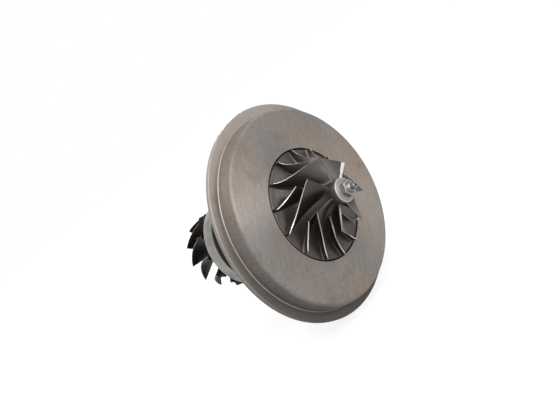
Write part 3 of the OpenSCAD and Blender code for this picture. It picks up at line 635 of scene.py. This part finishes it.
def turbine_wheel():
    # the hub starts at this share of the blade passage, inside the rim of the disc
    disc_t = 4 / 18
    hub = [tuple(hub_line(TURBINE, disc_t + (1 - disc_t) * i / 40)) for i in range(41)]
    disc_r = hub[0][0]
    cap_z = TURB_OUT_Z - TURB_CAP
    profile = [(AXIS_R, WELD_Z), (SEAL_BOSS_R - 0.3, WELD_Z), (SEAL_BOSS_R + 2, TURB_BACK_Z),
               (SCALLOP_R - 1.5, TURB_BACK_Z), (disc_r, TURB_BACK_Z), *hub,
               (TURB_HUB_R - 0.6, TURB_OUT_Z - 1.5), (TURB_HUB_R - 3, cap_z), (AXIS_R, cap_z)]
    pitch = 360 / TURB_BLADES

    def scallop(a):
        """Radius of the disc at an angle: it is cut away in an arc between each two blades."""
        gap = math.radians((a - TURB_PHASE) % pitch - pitch / 2)
        centre = SCALLOP_R + SCALLOP_ROUND
        h = centre * math.sin(gap)
        if abs(h) >= SCALLOP_ROUND:
            return disc_r
        return min(disc_r, centre * math.cos(gap) - math.sqrt(SCALLOP_ROUND ** 2 - h ** 2))

    parts = [(*lathe(profile, TURB_BLADES * 24, TURB_PHASE, scallop), 0)]
    for i in range(TURB_BLADES):
        parts.append(blade_mesh(TURBINE, 0.0, i * pitch, TURB_ROWS, TURB_COLUMNS, TURB_ROOT_T, TURB_TIP_T,
                                TURB_FILLET))
    parts.append(turbine_nose())
    verts, faces, slots = join(parts)
    ob = add_piece("turbine_wheel_cast", verts, faces, [turbine_mat, turbine_edge_mat], slots)
    sharpen(ob, 38)
    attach(ob, "rotor")
    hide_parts("turbine_wheel")


# Shaft

def rotor_shaft():
    """The shaft, with a rolled thread where it stands out of the nut and a plain end with a centre hole."""
    end = FACE_H + SHAFT_H
    low, top = NOSE_Z + THREAD_START, end - THREAD_STOP
    groove_low, groove_top = SEAL_Z - SEAL_GROOVE_W / 2, SEAL_Z + SEAL_GROOVE_W / 2
    body = [(AXIS_R, WELD_Z), (SEAL_BOSS_R - 0.5, WELD_Z), (SEAL_BOSS_R, WELD_Z + 0.5),
            (SEAL_BOSS_R, groove_low), (SEAL_GROOVE_R, groove_low), (SEAL_GROOVE_R, groove_top),
            (SEAL_BOSS_R, groove_top), (SEAL_BOSS_R, SEAL_BOSS_Z), (JOURNAL_R + 1.5, SEAL_BOSS_Z + 1.5),
            (JOURNAL_R, SEAL_BOSS_Z + 3), (JOURNAL_R, REAR_JOURNAL_Z), (WAIST_R, REAR_JOURNAL_Z + 1),
            (WAIST_R, FRONT_JOURNAL_Z - 1), (JOURNAL_R, FRONT_JOURNAL_Z), (JOURNAL_R, SHOULDER_Z),
            (STUB_R, SHOULDER_Z), (STUB_R, NOSE_Z - 3), (THREAD_R, NOSE_Z - 2.5)]
    thread = [(THREAD_R, low + (top - low) * i / 60) for i in range(61)]
    tail = [(THREAD_R - 0.9, end - END_LEN), (END_R, end - END_LEN), (END_R, end - 0.4), (END_R - 0.4, end),
            (CENTRE_R, end), (CENTRE_R, end - CENTRE_DEPTH), (AXIS_R, end - CENTRE_DEPTH - 0.3)]
    profile = body + thread + tail
    segs = 72
    verts, faces = lathe(profile, segs)
    for k in range(segs):
        for i, (r, z) in enumerate(thread, len(body)):
            wave = abs(((z / THREAD_PITCH - k / segs) % 1.0) * 2 - 1)
            fade = min(1.0, (z - low) / THREAD_PITCH, (top - z) / (0.4 * THREAD_PITCH))
            verts[k * len(profile) + i] = at(r - THREAD_DEPTH * wave * max(0.0, fade), 360.0 * k / segs, z)
    ob = add_piece("rotor_shaft_turned", verts, faces, [shaft_mat])
    sharpen(ob, 30)
    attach(ob, "rotor")
    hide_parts("rotor_shaft")


# CAD nodes that keep their shape

def dress(node, mat, bevel, segs=2):
    """Gives a node its material and rounds its edges by that many millimetres."""
    ob = nodes[node]
    ob.data.materials.clear()
    ob.data.materials.append(mat)
    ob.modifiers.new("weld", "WELD").merge_threshold = 0.005 * MM
    if bevel:
        b = ob.modifiers.new("edges", "BEVEL")
        b.width = bevel * MM
        b.segments = segs
        b.limit_method = "ANGLE"
        b.angle_limit = math.radians(32)
    ob.data.polygons.foreach_set("use_smooth", [True] * len(ob.data.polygons))
    ob.modifiers.new("normals", "WEIGHTED_NORMAL").keep_sharp = True


backplate()
compressor_wheel()
turbine_wheel()
rotor_shaft()

dress("bearing_housing", housing_mat, 0.8, 3)
dress("backplate_bolts", bolt_mat, 0.25)
dress("heat_shield", sheet_mat, 0.3)
dress("compressor_nut", nut_mat, 0.2)
dress("backplate_o_ring", rubber_mat, 0)
dress("insert_o_ring", rubber_mat, 0)
dress("seal_insert", insert_mat, 0.2)
dress("insert_snap_ring", spring_mat, 0.1)
dress("oil_baffle", sheet_mat, 0.1)
dress("thrust_bearing", bronze_mat, 0.15)
dress("thrust_screws", bolt_mat, 0.15)
dress("bearing_snap_rings", spring_mat, 0.1)
dress("compressor_seal_ring", spring_mat, 0.1)
dress("turbine_seal_ring", spring_mat, 0.1)
dress("front_journal_bearing", bronze_mat, 0.15)
dress("rear_journal_bearing", bronze_mat, 0.15)
dress("thrust_collar", shaft_mat, 0.15)
dress("oil_slinger", shaft_mat, 0.15)


# Camera, solved from the circles of the backplate in the photograph

CAM_RIGHT, CAM_DOWN = Vector((0.4940, -0.6317, -0.5980)), Vector((-0.5465, 0.3097, -0.7790))
CAM_AHEAD = Vector((0.6780, 0.7107, -0.1920))
# the middle of the raised face seen from the camera: right, down and ahead, in radii of that face
FACE_RIGHT, FACE_DOWN, FACE_AHEAD = 0.3376, -0.0527, 6.821
FOCAL_PX, PHOTO_W_PX, SENSOR_MM = 706.4, 560, 36.0


def camera():
    face = Vector((0, -FACE_H * MM, 0))
    spot = face - (CAM_RIGHT * FACE_RIGHT + CAM_DOWN * FACE_DOWN + CAM_AHEAD * FACE_AHEAD) * FACE_R * MM
    cam = bpy.data.cameras.new("camera")
    cam.sensor_fit = "HORIZONTAL"
    cam.sensor_width = SENSOR_MM
    cam.lens = SENSOR_MM * FOCAL_PX / PHOTO_W_PX
    cam.clip_start = 0.01
    ob = bpy.data.objects.new("camera", cam)
    turn = Matrix((CAM_RIGHT, -CAM_DOWN, -CAM_AHEAD)).transposed()
    ob.matrix_world = Matrix.Translation(spot) @ turn.to_4x4()
    bpy.context.scene.collection.objects.link(ob)
    bpy.context.scene.camera = ob


# Floor, background and light

WHITE = (1.0, 1.0, 1.0)


def floor(height, half=6.0):
    """A plain floor that looks white but throws little light back, and keeps the shadow."""
    n = material("floor_white")
    dim = n.new("ShaderNodeBsdfDiffuse", {"Color": (0.22, 0.22, 0.22)})
    pale = n.new("ShaderNodeBsdfDiffuse", {"Color": (0.28, 0.28, 0.28)})
    glow = n.new("ShaderNodeEmission", {"Color": WHITE, "Strength": 0.82})
    white = n.new("ShaderNodeAddShader", {0: pale.outputs[0], 1: glow.outputs[0]})
    n.finish(n.new("ShaderNodeMixShader", {0: n.seen(), 1: dim.outputs[0], 2: white.outputs[0]}))
    me = bpy.data.meshes.new("floor")
    corners = [(-half, -half), (half, -half), (half, half), (-half, half)]
    me.from_pydata([(x, y, height) for x, y in corners], [], [(0, 1, 2, 3)])
    me.materials.append(n.owner)
    ob = bpy.data.objects.new("floor", me)
    bpy.context.scene.collection.objects.link(ob)


def background():
    """White to look at, and a weak even light on the part."""
    n = Nodes(bpy.data.worlds.new("studio"), "ShaderNodeOutputWorld")
    soft = n.new("ShaderNodeBackground", {"Color": WHITE, "Strength": 0.18})
    white = n.new("ShaderNodeBackground", {"Color": WHITE, "Strength": 1.0})
    n.finish(n.new("ShaderNodeMixShader", {0: n.seen(), 1: soft.outputs[0], 2: white.outputs[0]}))
    bpy.context.scene.world = n.owner


def place_light(light, place, aim):
    """Adds a light at a place, turned towards the point aim."""
    ob = bpy.data.objects.new(light.name, light)
    ob.location = place
    ob.rotation_euler = (aim - place).to_track_quat("-Z", "Y").to_euler()
    bpy.context.scene.collection.objects.link(ob)


def lamp(name, offset, size, watts):
    """A round soft lamp that stands off from the middle of the part."""
    light = bpy.data.lights.new(name, "AREA")
    light.shape = "DISK"
    light.size = size
    light.energy = watts
    middle = Vector((0, 0.02, 0))
    place_light(light, middle + Vector(offset), middle)


def sky(direction, angle, strength):
    """A broad light from far away."""
    light = bpy.data.lights.new("sky", "SUN")
    light.angle = math.radians(angle)
    light.energy = strength
    place_light(light, Vector(direction), Vector((0, 0, 0)))


camera()
floor(float(cad_box[0][2]) - 0.4 * MM)
background()
sky(direction=(-0.30, -0.35, 0.89), angle=50, strength=2.1)
lamp("key", offset=(-0.42, -0.80, 0.42), size=0.35, watts=4.0)
lamp("rake", offset=(0.38, -0.95, 0.02), size=0.30, watts=2.6)
lamp("fill", offset=(0.75, 0.72, 0.40), size=0.45, watts=5.0)

bpy.context.scene.view_settings.view_transform = "Standard"
